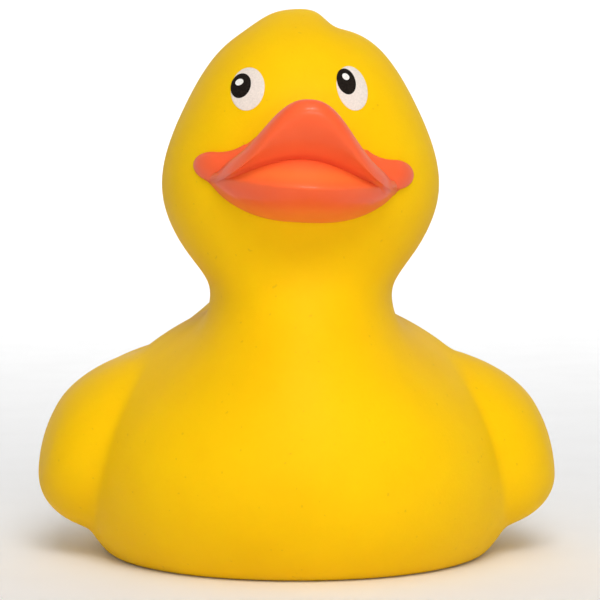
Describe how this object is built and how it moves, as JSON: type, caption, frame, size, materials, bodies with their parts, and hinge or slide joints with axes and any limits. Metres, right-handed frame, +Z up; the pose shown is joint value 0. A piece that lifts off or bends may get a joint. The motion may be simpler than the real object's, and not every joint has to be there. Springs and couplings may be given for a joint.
{
  "type": "rubber duck",
  "caption": "Hollow soft vinyl bath duck with moulded bill, wings and tail, a flat base to sit on and a squeaker pressed into the base.",
  "frame": {"origin": "on the surface it sits on, under the middle of its outer box", "axes": "+Z up, -Y the way the duck faces, +X to the left hand of the duck"},
  "size_m": [0.0812, 0.0858, 0.0847],
  "materials": {
    "vinyl_skin": "matt soft vinyl with a fine skin, painted bill and eyes",
    "white_plastic": "plain moulded plastic",
    "reed_metal": "thin rolled strip"
  },
  "bodies": {
    "root": {"duck_body": "vinyl_skin", "squeaker_housing": "white_plastic", "squeaker_reed": "reed_metal"}
  },
  "joints": []
}
